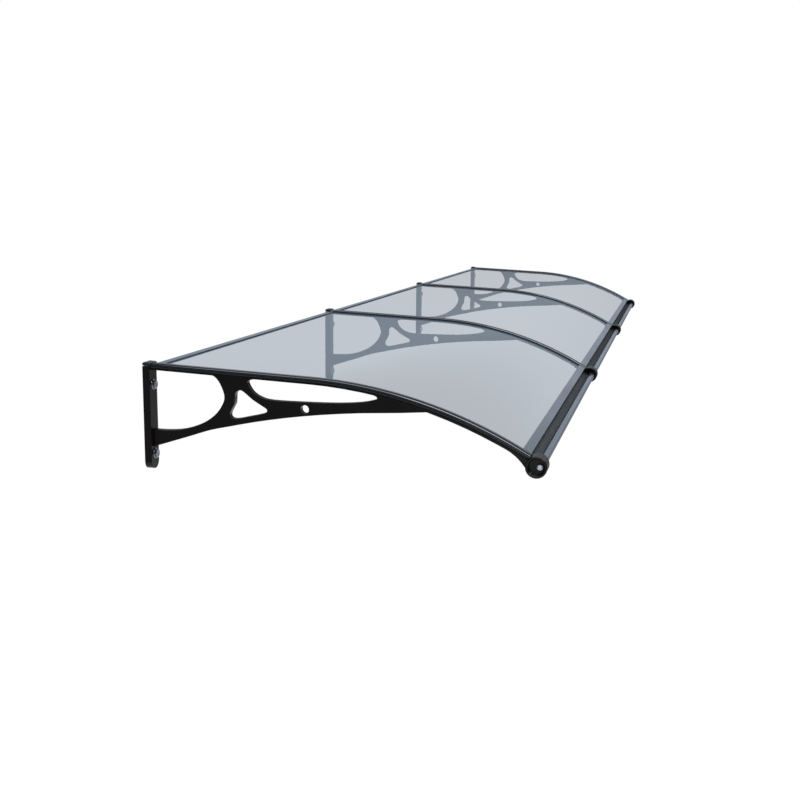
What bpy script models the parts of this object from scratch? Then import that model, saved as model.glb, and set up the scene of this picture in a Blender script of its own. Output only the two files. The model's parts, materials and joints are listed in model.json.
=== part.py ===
"""Wall canopy over a door: cast brackets, arched clear sheets, pressing strips and rails.

Metres, +Z up. The wall is the plane y = 0 and the canopy reaches out along -Y. The origin is
on the back face of the middle wall rail. Pieces that follow the brackets' curved top are made
straight first, with x across, y along the curve and z above it, and are then laid on it.
"""
import math

import bmesh
import bpy
from mathutils import Matrix, Vector

GAP = 0.0003  # between pieces that touch

# Along the wall
BAY_COUNT = 3
BAY_PITCH = 1.200  # from one bracket's centre to the next

# Seat line, the bracket's top in side view: straight, then an arc, then straight to the hub
SEAT_HEIGHT = 0.0056
SEAT_SLOPE = math.radians(2.5)
SEAT_STRAIGHT = 0.346
SEAT_RADIUS = 0.927
SEAT_SWEEP = math.radians(26.2)
SEAT_STEPS = 12
ARC_END = SEAT_STRAIGHT + SEAT_RADIUS * SEAT_SWEEP

# Bracket casting
PLATE_WIDTH = 0.032
PLATE_DEPTH = 0.0154
PLATE_TOP = 0.0092
PLATE_BOTTOM = -0.201
WEB_WIDTH = 0.014
FLANGE_WIDTH = 0.028
FLANGE_THICKNESS = 0.0026
RIB_DEPTH = 0.0060  # from the seat line, where the bar runs on past the arm
RIB_START = 0.584
ROOT_INSET = 0.007  # how far web and flange start inside the plate's front face
HOLE_ROOF = 0.0030  # from the seat line down to the upper edge of the web's openings
WEB_HOLE_OUT = 0.3363
WEB_HOLE_HEIGHT = -0.0628
WEB_HOLE_RADIUS = 0.0085

# Hub at the front end of the bracket
HUB_LEAD = 0.0456  # along the seat line, past the end of its arc
HUB_DROP = 0.0029
HUB_RADIUS = 0.021
HUB_FILLET = 0.100  # under the bar, where it runs into the hub
HUB_FILLET_STEPS = 6
HUB_LENGTH = 0.037
HUB_CHAMFER = 0.0015
HUB_STEPS = 36
CUP_RADIUS = 0.0155
CUP_DEPTH = 0.010
CUP_FILLET = 0.0015
BAR_BITE = 0.003  # how deep the bracket's bar runs into the hub's wall

# Clear sheets and what seals them on the brackets
SHEET_THICKNESS = 0.003
SHEET_JOINT = 0.004  # between two sheets over a bracket
GASKET_THICKNESS = 0.0005
GASKET_WIDTH = 0.022
SHEET_START = PLATE_DEPTH + 0.0006
SHEET_UNDER = GAP + GASKET_THICKNESS + GAP
SHEET_TOP = SHEET_UNDER + SHEET_THICKNESS
STRIP_UNDER = SHEET_TOP + GAP + GASKET_THICKNESS + GAP

# Pressing strips and the caps over their wall ends
STRIP_WIDTH = 0.026
STRIP_EDGE = 0.0034
STRIP_CROWN = 0.0048
STRIP_TOE_GAP = 0.0003
CAP_LENGTH = 0.016
CAP_WIDTH = 0.032
CAP_REAR_WALL = 0.002
CAP_CROWN = 0.0016  # from the strip's crown to the cap's top
CAP_ROUNDING = 0.0028

# Rails
SEAL_WIDTH = 0.008
SEAL_INSET = 0.0007  # from the edge of the lip that covers it
LIP_UNDER = STRIP_UNDER
SHELF_TOP = SHEET_UNDER - GAP
SHELF_THICKNESS = 0.0016

# Wall rail
WALL_LIP_THICKNESS = 0.0012
WALL_LIP_DEPTH = 0.0285
WALL_SHELF_DEPTH = 0.0245
WALL_WEB_FRONT = SHEET_START - 0.0010
WALL_WEB_THICKNESS = 0.0016
WALL_LEG_THICKNESS = 0.002
WALL_LEG_FOOT = -0.0015

# Front rail, measured along and above the straight end of the seat line
FRONT_LIP_THICKNESS = 0.0020
FRONT_LIP_START = 0.0065
FRONT_SHELF_START = 0.010
GUTTER_BACK = 0.0247
GUTTER_WALL = 0.0022
GUTTER_FLOOR = -0.0045
FLOOR_THICKNESS = 0.0020
NOSE_LEAD = 0.0515
NOSE_RADIUS = 0.0082
NOSE_STEPS = 18
SLOT_BACK = GUTTER_BACK - GUTTER_WALL
SHEET_END = SLOT_BACK - 2 * GAP

# Screw through the hub, on the axis of the front rail's nose
SCREW_SHANK_RADIUS = 0.0025
SCREW_CLEARANCE = 0.0003
SCREW_HEAD_RADIUS = 0.0070
SCREW_HEAD_HEIGHT = 0.0042
SCREW_GRIP = 0.012  # how far the shank runs into the rail
SHORT_SCREW_LENGTH = 0.008  # shank of the two screws in the last hub
SCREW_STEPS = 16

# Wall bolts
BOLT_HEIGHTS = (-0.029, -0.170)
BOLT_RADIUS = 0.005
BOLT_CLEARANCE = 0.0005
BOLT_HEAD_RADIUS = 0.0092
BOLT_HEAD_HEIGHT = 0.0042
BOLT_TIP_INSET = 0.0005
WASHER_RADIUS = 0.0105
WASHER_THICKNESS = 0.0014
ROUND_STEPS = 20

# Side view of the arm: distance from the wall and height, in metres
ARM_UNDERSIDE = (
    (0.000, -0.1605), (0.026, -0.1518), (0.095, -0.1293), (0.138, -0.1147), (0.181, -0.1048),
    (0.233, -0.0933), (0.296, -0.0820), (0.367, -0.0722), (0.447, -0.0645), (0.526, -0.0599),
)
REAR_OPENING_EDGE = (
    (0.147, -0.0052), (0.158, -0.0150), (0.167, -0.0330), (0.170, -0.0486), (0.164, -0.0649),
    (0.149, -0.0837), (0.123, -0.1013), (0.084, -0.1156), (0.041, -0.1201), (0.000, -0.1190),
)
REAR_OPENING_REACH = 0.136
TRIANGLE_EDGE = (
    (0.203, -0.0312), (0.213, -0.0360), (0.230, -0.0496), (0.252, -0.0624), (0.259, -0.0680),
    (0.253, -0.0753), (0.220, -0.0835), (0.193, -0.0893), (0.182, -0.0860), (0.182, -0.0760),
    (0.1915, -0.0580), (0.193, -0.0380),
)
FRONT_OPENING_EDGE = (
    (0.477, -0.0295), (0.481, -0.0335), (0.476, -0.0378), (0.447, -0.0442), (0.397, -0.0481),
    (0.327, -0.0493), (0.269, -0.0486), (0.246, -0.0440), (0.229, -0.0340), (0.219, -0.0184),
    (0.2205, -0.0115),
)
FRONT_OPENING_START = 0.236
FRONT_OPENING_REACH = 0.467

MATERIALS = {
    "powder_coated_casting": ((0.012, 0.011, 0.010), 0.38, 0.0, 1.0),
    "black_strip": ((0.010, 0.010, 0.011), 0.30, 0.0, 1.0),
    "black_plastic": ((0.014, 0.014, 0.015), 0.42, 0.0, 1.0),
    "black_rubber": ((0.018, 0.018, 0.018), 0.80, 0.0, 1.0),
    "clear_grey_sheet": ((0.52, 0.55, 0.60), 0.05, 0.0, 0.35),
    "anodised_rail": ((0.22, 0.24, 0.28), 0.32, 0.9, 1.0),
    "zinc_plated_steel": ((0.62, 0.64, 0.66), 0.30, 1.0, 1.0),
}


def seat_place(across, along, lift):
    """World point for a place across, along and above the seat line."""
    run = min(along, SEAT_STRAIGHT)
    turn = min(max(along - SEAT_STRAIGHT, 0.0), ARC_END - SEAT_STRAIGHT) / SEAT_RADIUS
    tail = max(along - ARC_END, 0.0)
    angle = SEAT_SLOPE + turn
    out = run * math.cos(SEAT_SLOPE) + tail * math.cos(angle)
    out += SEAT_RADIUS * (math.sin(angle) - math.sin(SEAT_SLOPE))
    drop = run * math.sin(SEAT_SLOPE) + tail * math.sin(angle)
    drop += SEAT_RADIUS * (math.cos(SEAT_SLOPE) - math.cos(angle))
    height = SEAT_HEIGHT - drop + lift * math.cos(angle)
    return Vector((across, -out - lift * math.sin(angle), height))


def seat_stations():
    """Distances along the seat line where a piece that follows it bends."""
    step = (ARC_END - SEAT_STRAIGHT) / SEAT_STEPS
    return [SEAT_STRAIGHT + step * index for index in range(SEAT_STEPS + 1)]


def seat_line(start, end, lift):
    """Side-view points (y, z) along the seat line, from start to end."""
    along = [start] + [s for s in seat_stations() if start < s < end] + [end]
    return [seat_place(0.0, s, lift).yz for s in along]


def hub_centre():
    """Centre of the hub in side view, (y, z)."""
    return seat_place(0.0, ARC_END + HUB_LEAD, -HUB_DROP).yz


def nose_centre():
    """Centre of the front rail's nose, and of the hub's screw, in side view, (y, z)."""
    return seat_place(0.0, ARC_END + NOSE_LEAD, 0.0).yz


def side_points(pairs):
    """Side-view points (y, z) from pairs of distance from the wall and height."""
    return [Vector((-out, height)) for out, height in pairs]


def curve_through(points, steps, closed):
    """Smooth curve through side-view points, with the given steps between two of them."""
    count = len(points)
    spans = count if closed else count - 1
    result = []
    for index in range(spans):
        if closed:
            p0, p1, p2, p3 = (points[(index + k - 1) % count] for k in range(4))
        else:
            p0, p1, p2, p3 = (points[min(max(index + k - 1, 0), count - 1)] for k in range(4))
        for step in range(steps):
            t = step / steps
            pull = (p2 - p0) * t + (2 * p0 - 5 * p1 + 4 * p2 - p3) * t * t
            pull += (3 * p1 - p0 - 3 * p2 + p3) * t ** 3
            result.append(p1 + pull / 2)
    if not closed:
        result.append(points[-1].copy())
    return result


def circle_points(centre, radius, steps):
    """Points (a, b) round a circle."""
    turns = [2 * math.pi * index / steps for index in range(steps)]
    return [Vector((centre[0] + radius * math.cos(t), centre[1] + radius * math.sin(t))) for t in turns]


def finish_bmesh(bm):
    """Merge what meets, turn the faces outwards and return the mesh."""
    bmesh.ops.remove_doubles(bm, verts=bm.verts, dist=2e-6)
    bmesh.ops.recalc_face_normals(bm, faces=bm.faces)
    mesh = bpy.data.meshes.new("shape")
    bm.to_mesh(mesh)
    bm.free()
    return mesh


def prism_across(outline, left, right):
    """Mesh of a side-view outline (y, z) extruded across, from x = left to x = right."""
    bm = bmesh.new()
    face = bm.faces.new([bm.verts.new((left, y, z)) for y, z in outline])
    pushed = bmesh.ops.extrude_face_region(bm, geom=[face])["geom"]
    moved = [item for item in pushed if isinstance(item, bmesh.types.BMVert)]
    bmesh.ops.translate(bm, verts=moved, vec=(right - left, 0, 0))
    return finish_bmesh(bm)


def prism_outwards(outline, back, front):
    """Mesh of a front-view outline (x, z) extruded from y = back to y = front."""
    bm = bmesh.new()
    face = bm.faces.new([bm.verts.new((x, back, z)) for x, z in outline])
    pushed = bmesh.ops.extrude_face_region(bm, geom=[face])["geom"]
    moved = [item for item in pushed if isinstance(item, bmesh.types.BMVert)]
    bmesh.ops.translate(bm, verts=moved, vec=(0, front - back, 0))
    return finish_bmesh(bm)


def turned(profile, centre, steps):
    """Mesh turned about an axis along X. The profile is (x, radius), and centre is (y, z)."""
    bm = bmesh.new()
    verts = [bm.verts.new((x, centre[0], centre[1] + radius)) for x, radius in profile]
    edges = [bm.edges.new(pair) for pair in zip(verts, verts[1:])]
    if profile[0][1] > 0:
        edges.append(bm.edges.new((verts[-1], verts[0])))
    axis_point = (0.0, centre[0], centre[1])
    bmesh.ops.spin(bm, geom=verts + edges, cent=axis_point, axis=(1, 0, 0), angle=2 * math.pi,
                   steps=steps, use_merge=True)
    return finish_bmesh(bm)


def turned_to_front(mesh):
    """Turn a mesh made about X so that its -X end looks out along -Y."""
    mesh.transform(Matrix.Rotation(math.radians(90), 4, "Z"))
    return mesh


def straight_bar(section, start, end):
    """Bmesh of a section (across, lift) run straight from start to end along y."""
    bm = bmesh.new()
    face = bm.faces.new([bm.verts.new((across, start, lift)) for across, lift in section])
    pushed = bmesh.ops.extrude_face_region(bm, geom=[face])["geom"]
    moved = [item for item in pushed if isinstance(item, bmesh.types.BMVert)]
    bmesh.ops.translate(bm, verts=moved, vec=(0, end - start, 0))
    bmesh.ops.recalc_face_normals(bm, faces=bm.faces)
    return bm


def laid_on_seat(bm):
    """Cut a straight bar where the seat line bends, and lay it along that line."""
    for station in seat_stations():
        whole = bm.verts[:] + bm.edges[:] + bm.faces[:]
        bmesh.ops.bisect_plane(bm, geom=whole, dist=1e-6, plane_co=(0, station, 0), plane_no=(0, 1, 0))
    for vert in bm.verts:
        vert.co = seat_place(*vert.co)
    return finish_bmesh(bm)


def flat_section(half_width, under, top):
    """Rectangular section (across, lift) about the centre line."""
    return [(-half_width, under), (half_width, under), (half_width, top), (-half_width, top)]


def combined(base, others, operation):
    """Mesh of base joined with, or cut by, the other meshes."""
    result = base
    for other in others:
        body = bpy.data.objects.new("body", result)
        tool = bpy.data.objects.new("tool", other)
        for item in (body, tool):
            bpy.context.collection.objects.link(item)
        boolean = body.modifiers.new("combine", "BOOLEAN")
        boolean.operation = operation
        boolean.solver = "EXACT"
        boolean.object = tool
        graph = bpy.context.evaluated_depsgraph_get()
        bm = bmesh.new()
        bm.from_object(body, graph)
        result = finish_bmesh(bm)
        bpy.data.objects.remove(body)
        bpy.data.objects.remove(tool)
    return result


def plate_mesh():
    """The bracket's wall plate, with its lower end rounded."""
    half = PLATE_WIDTH / 2
    steps = 12
    foot = [math.pi + math.pi * index / steps for index in range(steps + 1)]
    outline = [(half, PLATE_TOP), (-half, PLATE_TOP)]
    outline += [(half * math.cos(a), PLATE_BOTTOM + half + half * math.sin(a)) for a in foot]
    return prism_outwards(outline, 0.0, -PLATE_DEPTH)


def web_outline():
    """Side view of the bracket's web and of the rib that carries on to the hub."""
    root = PLATE_DEPTH - ROOT_INSET
    end = ARC_END + HUB_LEAD - HUB_RADIUS + BAR_BITE
    under = curve_through(side_points(ARM_UNDERSIDE) + [seat_place(0, RIB_START, -RIB_DEPTH).yz], 2, False)
    under = [point for point in under if -point[0] > root]
    under = [Vector((-root, under[0][1]))] + under
    fillet = hub_fillet()
    rib = [point for point in seat_line(RIB_START, ARC_END, -RIB_DEPTH)[1:] if point[0] > fillet[0][0]]
    top = seat_line(root, end, -FLANGE_THICKNESS / 2)
    return under + rib + fillet + top[::-1]


def hub_fillet():
    """Side view of the arc that carries the bar's underside into the hub, up to inside the hub."""
    side = HUB_FILLET + RIB_DEPTH - HUB_DROP
    reach = math.sqrt((HUB_RADIUS + HUB_FILLET) ** 2 - side ** 2)
    start = ARC_END + HUB_LEAD - reach
    last = math.atan2(reach, side)
    points = []
    for index in range(HUB_FILLET_STEPS):
        turn = last * index / HUB_FILLET_STEPS
        lift = -RIB_DEPTH - HUB_FILLET * (1 - math.cos(turn))
        points.append(offset_from_arc_end(start - ARC_END + HUB_FILLET * math.sin(turn), lift))
    inside = HUB_RADIUS - BAR_BITE
    points.append(offset_from_arc_end(HUB_LEAD - inside * math.sin(last), -HUB_DROP - inside * math.cos(last)))
    return points


def offset_from_arc_end(lead, lift):
    """Side-view point on the straight lines through the arc's end, along and above the seat line."""
    foot = seat_place(0, ARC_END, 0)
    ahead = seat_place(0, ARC_END + 1, 0) - foot
    above = seat_place(0, ARC_END, 1) - foot
    return (foot + ahead * lead + above * lift).yz


def web_openings():
    """Side views of the four openings in the web."""
    rear = seat_line(0.0, REAR_OPENING_REACH, -HOLE_ROOF)
    rear += curve_through([rear[-1]] + side_points(REAR_OPENING_EDGE), 3, False)[1:]
    front = seat_line(FRONT_OPENING_START, FRONT_OPENING_REACH, -HOLE_ROOF)
    edge = curve_through([front[-1]] + side_points(FRONT_OPENING_EDGE) + [front[0]], 3, False)
    front += edge[1:-1]
    triangle = curve_through(side_points(TRIANGLE_EDGE), 2, True)
    hole = circle_points((-WEB_HOLE_OUT, WEB_HOLE_HEIGHT), WEB_HOLE_RADIUS, ROUND_STEPS)
    return [rear, front, triangle, hole]


def hub_mesh(two_cups):
    """The hub, a drum across the bracket's front end, with a cup in one face or in both."""
    half = HUB_LENGTH / 2
    floor = half - CUP_DEPTH
    rim = [(half, HUB_RADIUS - HUB_CHAMFER), (half - HUB_CHAMFER, HUB_RADIUS)]
    cup = [
        (floor, 0.0), (floor, CUP_RADIUS - CUP_FILLET), (floor + CUP_FILLET, CUP_RADIUS),
        (half - HUB_CHAMFER, CUP_RADIUS), (half, CUP_RADIUS + HUB_CHAMFER),
    ]
    near = [(-x, radius) for x, radius in cup + rim]
    far = (cup if two_cups else [(half, 0.0)]) + rim
    return turned(near + far[::-1], hub_centre(), HUB_STEPS)


def bracket_mesh(two_cups):
    """The whole bracket casting: plate, web, flange and hub, with its holes."""
    half_web = WEB_WIDTH / 2
    web = prism_across(web_outline(), -half_web, half_web)
    reach = PLATE_WIDTH
    cutters = [prism_across(outline, -reach, reach) for outline in web_openings()]
    web = combined(web, cutters, "DIFFERENCE")
    bar_end = ARC_END + HUB_LEAD - HUB_RADIUS + BAR_BITE
    section = flat_section(FLANGE_WIDTH / 2, -FLANGE_THICKNESS, 0.0)
    flange = laid_on_seat(straight_bar(section, PLATE_DEPTH - ROOT_INSET, bar_end))
    casting = combined(flange, [web, plate_mesh(), hub_mesh(two_cups)], "UNION")
    hole = BOLT_RADIUS + BOLT_CLEARANCE
    depth = 2 * PLATE_DEPTH
    holes = [prism_outwards(circle_points((0, z), hole, ROUND_STEPS), depth, -depth) for z in BOLT_HEIGHTS]
    holes.append(prism_across(screw_bore(), -HUB_LENGTH, HUB_LENGTH))
    return combined(casting, holes, "DIFFERENCE")


def screw_bore():
    """Side view of the bore for the hub's screw, in hub and rail."""
    return circle_points(nose_centre(), SCREW_SHANK_RADIUS + SCREW_CLEARANCE, SCREW_STEPS)


def strip_mesh():
    """A pressing strip, domed on top."""
    half = STRIP_WIDTH / 2
    top = STRIP_UNDER + STRIP_EDGE
    crown = STRIP_UNDER + STRIP_CROWN
    section = [
        (-half, STRIP_UNDER), (half, STRIP_UNDER), (half, top - 0.0012), (half - 0.0010, top),
        (half - 0.0045, crown - 0.0003), (0.0, crown), (-half + 0.0045, crown - 0.0003),
        (-half + 0.0010, top), (-half, top - 0.0012),
    ]
    end = ARC_END + HUB_LEAD + strip_toe()
    return laid_on_seat(straight_bar(section, CAP_REAR_WALL + 2 * GAP, end))


def strip_toe():
    """Where the strip's square end meets the hub, along the seat line from the hub's centre."""
    rise = STRIP_UNDER + HUB_DROP
    return -math.sqrt(HUB_RADIUS ** 2 - rise ** 2) - STRIP_TOE_GAP


def cap_mesh():
    """The cap over a strip's wall end, open below and in front, with its upper edges rounded."""
    half = CAP_WIDTH / 2
    top = STRIP_UNDER + STRIP_CROWN + CAP_CROWN
    bm = straight_bar(flat_section(half, STRIP_UNDER, top), 0.0, CAP_LENGTH)
    upper = [edge for edge in bm.edges if all(vert.co.z > top - 1e-5 for vert in edge.verts)]
    bmesh.ops.bevel(bm, geom=upper, offset=CAP_ROUNDING, segments=3, profile=0.5, affect="EDGES",
                    material=-1)
    outer = finish_bmesh(bm)
    pocket_half = STRIP_WIDTH / 2 + GAP
    pocket_top = STRIP_UNDER + STRIP_CROWN + GAP
    pocket = straight_bar(flat_section(pocket_half, 0.0, pocket_top), CAP_REAR_WALL, 2 * CAP_LENGTH)
    hollow = combined(outer, [finish_bmesh(pocket)], "DIFFERENCE")
    bm = bmesh.new()
    bm.from_mesh(hollow)
    return laid_on_seat(bm)


def gasket_mesh(under):
    """A rubber strip between a sheet and what holds it on the bracket."""
    section = flat_section(GASKET_WIDTH / 2, under, under + GASKET_THICKNESS)
    return laid_on_seat(straight_bar(section, SHEET_START, ARC_END + SHEET_END))


def bracket_centres():
    """The brackets' places along the wall."""
    first = -BAY_PITCH * BAY_COUNT / 2
    return [first + BAY_PITCH * index for index in range(BAY_COUNT + 1)]


def sheet_mesh(index):
    """One arched clear sheet, out to the strip's edge at the canopy's ends."""
    centres = bracket_centres()
    first = -STRIP_WIDTH / 2 if index == 0 else SHEET_JOINT / 2
    last = STRIP_WIDTH / 2 if index == BAY_COUNT - 1 else -SHEET_JOINT / 2
    left, right = centres[index] + first, centres[index + 1] + last
    section = [(left, SHEET_UNDER), (right, SHEET_UNDER), (right, SHEET_TOP), (left, SHEET_TOP)]
    return laid_on_seat(straight_bar(section, SHEET_START, ARC_END + SHEET_END))


def wall_rail_outline():
    """Side view of the wall rail: a leg on the wall, a shelf, and a web that carries the lip."""

    def at(out, lift):
        return (-out, SEAT_HEIGHT - out * math.tan(SEAT_SLOPE) + lift / math.cos(SEAT_SLOPE))

    leg = WALL_LEG_THICKNESS
    web_back = WALL_WEB_FRONT - WALL_WEB_THICKNESS
    lip_top = LIP_UNDER + WALL_LIP_THICKNESS
    shelf_under = SHELF_TOP - SHELF_THICKNESS
    return [
        at(0.0, SHELF_TOP), at(web_back, SHELF_TOP), at(web_back, lip_top), at(WALL_LIP_DEPTH, lip_top),
        at(WALL_LIP_DEPTH, LIP_UNDER), at(WALL_WEB_FRONT, LIP_UNDER), at(WALL_WEB_FRONT, SHELF_TOP),
        at(WALL_SHELF_DEPTH, SHELF_TOP), at(WALL_SHELF_DEPTH, shelf_under), at(leg, shelf_under),
        (-leg, WALL_LEG_FOOT), (0.0, WALL_LEG_FOOT),
    ]


def front_rail_outline():
    """Side view of the front rail: a slot for the sheet, a gutter and a round nose."""

    def at(lead, lift):
        return seat_place(0, ARC_END + lead, lift).yz

    lip_top = LIP_UNDER + FRONT_LIP_THICKNESS
    floor_under = GUTTER_FLOOR - FLOOR_THICKNESS
    shelf_under = SHELF_TOP - SHELF_THICKNESS
    first = math.pi - math.asin(GUTTER_FLOOR / NOSE_RADIUS)
    last = -math.pi - math.asin(floor_under / NOSE_RADIUS)
    turns = [first + (last - first) * index / NOSE_STEPS for index in range(NOSE_STEPS + 1)]
    nose = [at(NOSE_LEAD + NOSE_RADIUS * math.cos(t), NOSE_RADIUS * math.sin(t)) for t in turns]
    return [
        at(FRONT_LIP_START, LIP_UNDER), at(FRONT_LIP_START, lip_top), at(GUTTER_BACK, lip_top),
        at(GUTTER_BACK, GUTTER_FLOOR), *nose, at(SLOT_BACK, floor_under), at(SLOT_BACK, shelf_under),
        at(FRONT_SHELF_START, shelf_under), at(FRONT_SHELF_START, SHELF_TOP),
        at(SLOT_BACK, SHELF_TOP), at(SLOT_BACK, LIP_UNDER),
    ]


def front_rail_mesh(left, right):
    """One front rail, with the round port that its nose has from end to end."""
    body = prism_across(front_rail_outline(), left, right)
    return combined(body, [prism_across(screw_bore(), left - HUB_LENGTH, right + HUB_LENGTH)], "DIFFERENCE")


def seal_mesh(left, right, start):
    """The seal between a sheet's top and a rail's lip."""
    under = SHEET_TOP + GAP
    top = LIP_UNDER - GAP
    section = [(left, under), (right, under), (right, top), (left, top)]
    return laid_on_seat(straight_bar(section, start, start + SEAL_WIDTH))


def screw_mesh(shank_length):
    """A pan head screw in a hub's near cup, with a cross recess in its head."""
    seat = -HUB_LENGTH / 2 + CUP_DEPTH - GAP
    top = seat - SCREW_HEAD_HEIGHT
    tip = seat + shank_length
    profile = [
        (top, 0.0), (top, SCREW_HEAD_RADIUS * 0.62),
        (top + SCREW_HEAD_HEIGHT * 0.25, SCREW_HEAD_RADIUS * 0.9),
        (seat - SCREW_HEAD_HEIGHT * 0.35, SCREW_HEAD_RADIUS), (seat, SCREW_HEAD_RADIUS),
        (seat, SCREW_SHANK_RADIUS), (tip, SCREW_SHANK_RADIUS), (tip, 0.0),
    ]
    body = turned(profile, (0.0, 0.0), SCREW_STEPS)
    arm, half = SCREW_HEAD_RADIUS * 0.5, SCREW_HEAD_RADIUS * 0.1
    cross = [
        (arm, -half), (arm, half), (half, half), (half, arm), (-half, arm), (-half, half),
        (-arm, half), (-arm, -half), (-half, -half), (-half, -arm), (half, -arm), (half, -half),
    ]
    depth = SCREW_HEAD_HEIGHT * 0.5
    return combined(body, [prism_across(cross, top - depth, top + depth)], "DIFFERENCE")


def bolt_mesh():
    """A hexagon head bolt at y = 0, its shank ending just inside the plate."""
    seat = -PLATE_DEPTH - WASHER_THICKNESS - 2 * GAP
    head = circle_points((0, 0), BOLT_HEAD_RADIUS, 6)
    shank = circle_points((0, 0), BOLT_RADIUS, ROUND_STEPS)
    head_mesh = prism_outwards(head, seat, seat - BOLT_HEAD_HEIGHT)
    shank_mesh = prism_outwards(shank, -BOLT_TIP_INSET, seat - BOLT_HEAD_HEIGHT / 2)
    return combined(head_mesh, [shank_mesh], "UNION")


def washer_mesh():
    """The washer between bolt and plate."""
    back = -PLATE_DEPTH - GAP
    front = back - WASHER_THICKNESS
    hole = BOLT_RADIUS + BOLT_CLEARANCE
    profile = [(-back, hole), (-back, WASHER_RADIUS), (-front, WASHER_RADIUS), (-front, hole)]
    mesh = turned([(-x, radius) for x, radius in profile], (0.0, 0.0), ROUND_STEPS)
    return turned_to_front(mesh)


def make_material(name):
    """Principled material from the table."""
    colour, roughness, metallic, alpha = MATERIALS[name]
    material = bpy.data.materials.new(name)
    material.use_nodes = True
    shader = material.node_tree.nodes["Principled BSDF"]
    shader.inputs["Base Color"].default_value = (*colour, 1.0)
    shader.inputs["Roughness"].default_value = roughness
    shader.inputs["Metallic"].default_value = metallic
    shader.inputs["Alpha"].default_value = alpha
    return material


def place(name, mesh, material, parent, location=(0, 0, 0), smooth=False):
    """Add one named piece, with its mesh, material and place."""
    if not mesh.materials:
        mesh.materials.append(material)
    if smooth:
        mesh.shade_smooth()
        mesh.set_sharp_from_angle(angle=math.radians(30))
    piece = bpy.data.objects.new(name, mesh)
    bpy.context.collection.objects.link(piece)
    piece.location = location
    piece.parent = parent
    return piece


def build():
    """Model the canopy."""
    for item in list(bpy.data.objects):
        bpy.data.objects.remove(item, do_unlink=True)
    root = bpy.data.objects.new("canopy", None)
    bpy.context.collection.objects.link(root)
    finish = {name: make_material(name) for name in MATERIALS}

    casting, last_casting = bracket_mesh(two_cups=False), bracket_mesh(two_cups=True)
    strip, cap = strip_mesh(), cap_mesh()
    upper_gasket, lower_gasket = gasket_mesh(SHEET_TOP + GAP), gasket_mesh(GAP)
    bolt, washer = bolt_mesh(), washer_mesh()
    long_screw = screw_mesh(HUB_LENGTH - CUP_DEPTH + SCREW_GRIP)
    short_screw = screw_mesh(SHORT_SCREW_LENGTH)
    screw_y, screw_z = nose_centre()
    for index, x in enumerate(bracket_centres()):
        number = index + 1
        last = index == BAY_COUNT
        at = (x, 0, 0)
        bracket = last_casting if last else casting
        place(f"bracket_{number}", bracket, finish["powder_coated_casting"], root, at, True)
        place(f"lower_gasket_{number}", lower_gasket, finish["black_rubber"], root, at)
        place(f"upper_gasket_{number}", upper_gasket, finish["black_rubber"], root, at)
        place(f"pressing_strip_{number}", strip, finish["black_strip"], root, at, True)
        place(f"strip_end_cap_{number}", cap, finish["black_plastic"], root, at, True)
        for side, height in zip(("upper", "lower"), BOLT_HEIGHTS):
            spot = (x, 0, height)
            place(f"{side}_wall_bolt_{number}", bolt, finish["zinc_plated_steel"], root, spot)
            place(f"{side}_wall_washer_{number}", washer, finish["zinc_plated_steel"], root, spot, True)
        spot = (x, screw_y, screw_z)
        screw = short_screw if last else long_screw
        place(f"hub_screw_{number}", screw, finish["zinc_plated_steel"], root, spot, True)
    end_screw = place("end_hub_screw", short_screw, finish["zinc_plated_steel"], root, spot, True)
    end_screw.rotation_euler = (0, 0, math.pi)

    hub_face = HUB_LENGTH / 2 + GAP
    plate_side = PLATE_WIDTH / 2 + GAP
    front_seal_start = ARC_END + FRONT_LIP_START + SEAL_INSET
    wall_seal_start = WALL_LIP_DEPTH - SEAL_INSET - SEAL_WIDTH
    for index in range(BAY_COUNT):
        number = index + 1
        left, right = bracket_centres()[index:index + 2]
        place(f"roof_sheet_{number}", sheet_mesh(index), finish["clear_grey_sheet"], root)
        ends = (left + hub_face, right - hub_face)
        rail = front_rail_mesh(*ends)
        place(f"front_rail_{number}", rail, finish["anodised_rail"], root, smooth=True)
        seal = seal_mesh(*ends, front_seal_start)
        place(f"front_seal_{number}", seal, finish["black_rubber"], root)
        ends = (left + plate_side, right - plate_side)
        rail = prism_across(wall_rail_outline(), *ends)
        place(f"wall_rail_{number}", rail, finish["anodised_rail"], root)
        seal = seal_mesh(*ends, wall_seal_start)
        place(f"wall_seal_{number}", seal, finish["black_rubber"], root)


build()
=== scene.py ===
"""Looks for a long wall canopy: arched clear sheets on black cast brackets, with slim rails.

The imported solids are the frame. Pieces whose curves or edges show are made again here, finer
and in the same places, and every piece gets its finish. Metres, +Z up, the wall is y = 0.
"""

import json
import logging
import math
from collections.abc import Callable
from dataclasses import dataclass
from enum import Enum

import bmesh
import bpy
from bmesh.types import BMEdge, BMesh, BMFace, BMVert
from bpy.types import ID, Material, Mesh, MeshPolygon, Node, NodeSocket, NodeTree, Object
from mathutils import Matrix, Vector

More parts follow.
